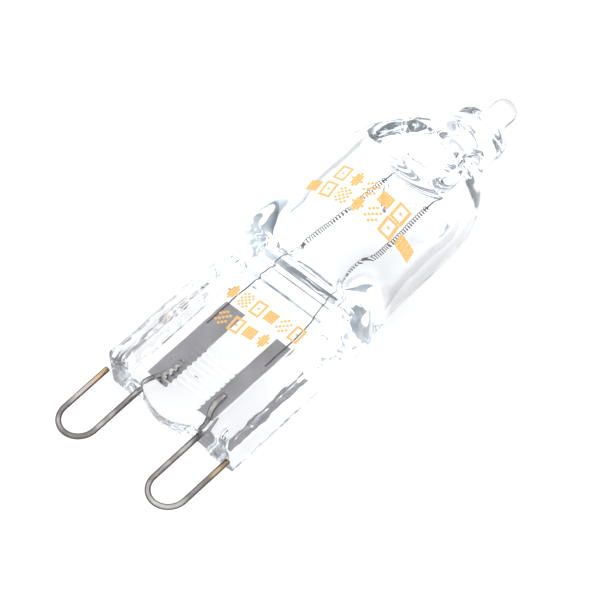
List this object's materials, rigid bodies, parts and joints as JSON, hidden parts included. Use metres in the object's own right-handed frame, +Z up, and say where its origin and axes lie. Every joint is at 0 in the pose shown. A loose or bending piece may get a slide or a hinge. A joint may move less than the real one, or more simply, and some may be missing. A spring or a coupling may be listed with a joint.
{
  "type": "halogen capsule bulb",
  "caption": "Mains halogen capsule bulb: clear quartz bulb on a flat pinched base with wire contact loops, sealing foils and a coiled filament.",
  "frame": {"origin": "bottom centre of the bounding box of the lamp as it lies at rest on its back", "axes": "+X along the lamp's length towards the exhaust tip, +Y across the width, +Z up; the lamp's own axis rises about 10 degrees towards the tip"},
  "size_m": [0.0422, 0.0128, 0.0127],
  "materials": {
    "quartz_glass": "clear fire-polished quartz glass",
    "contact_wire": "drawn contact wire with a light brown heat tint at the free ends",
    "foil": "matt molybdenum foil",
    "lead": "thin dark tungsten wire",
    "filament": "coiled tungsten wire"
  },
  "bodies": {
    "root": {"glass_envelope": "quartz_glass", "contact_wire_left": "contact_wire", "contact_wire_right": "contact_wire", "sealing_foil_left": "foil", "sealing_foil_right": "foil", "inner_lead_left": "lead", "inner_lead_right": "lead", "filament": "filament"}
  },
  "joints": []
}
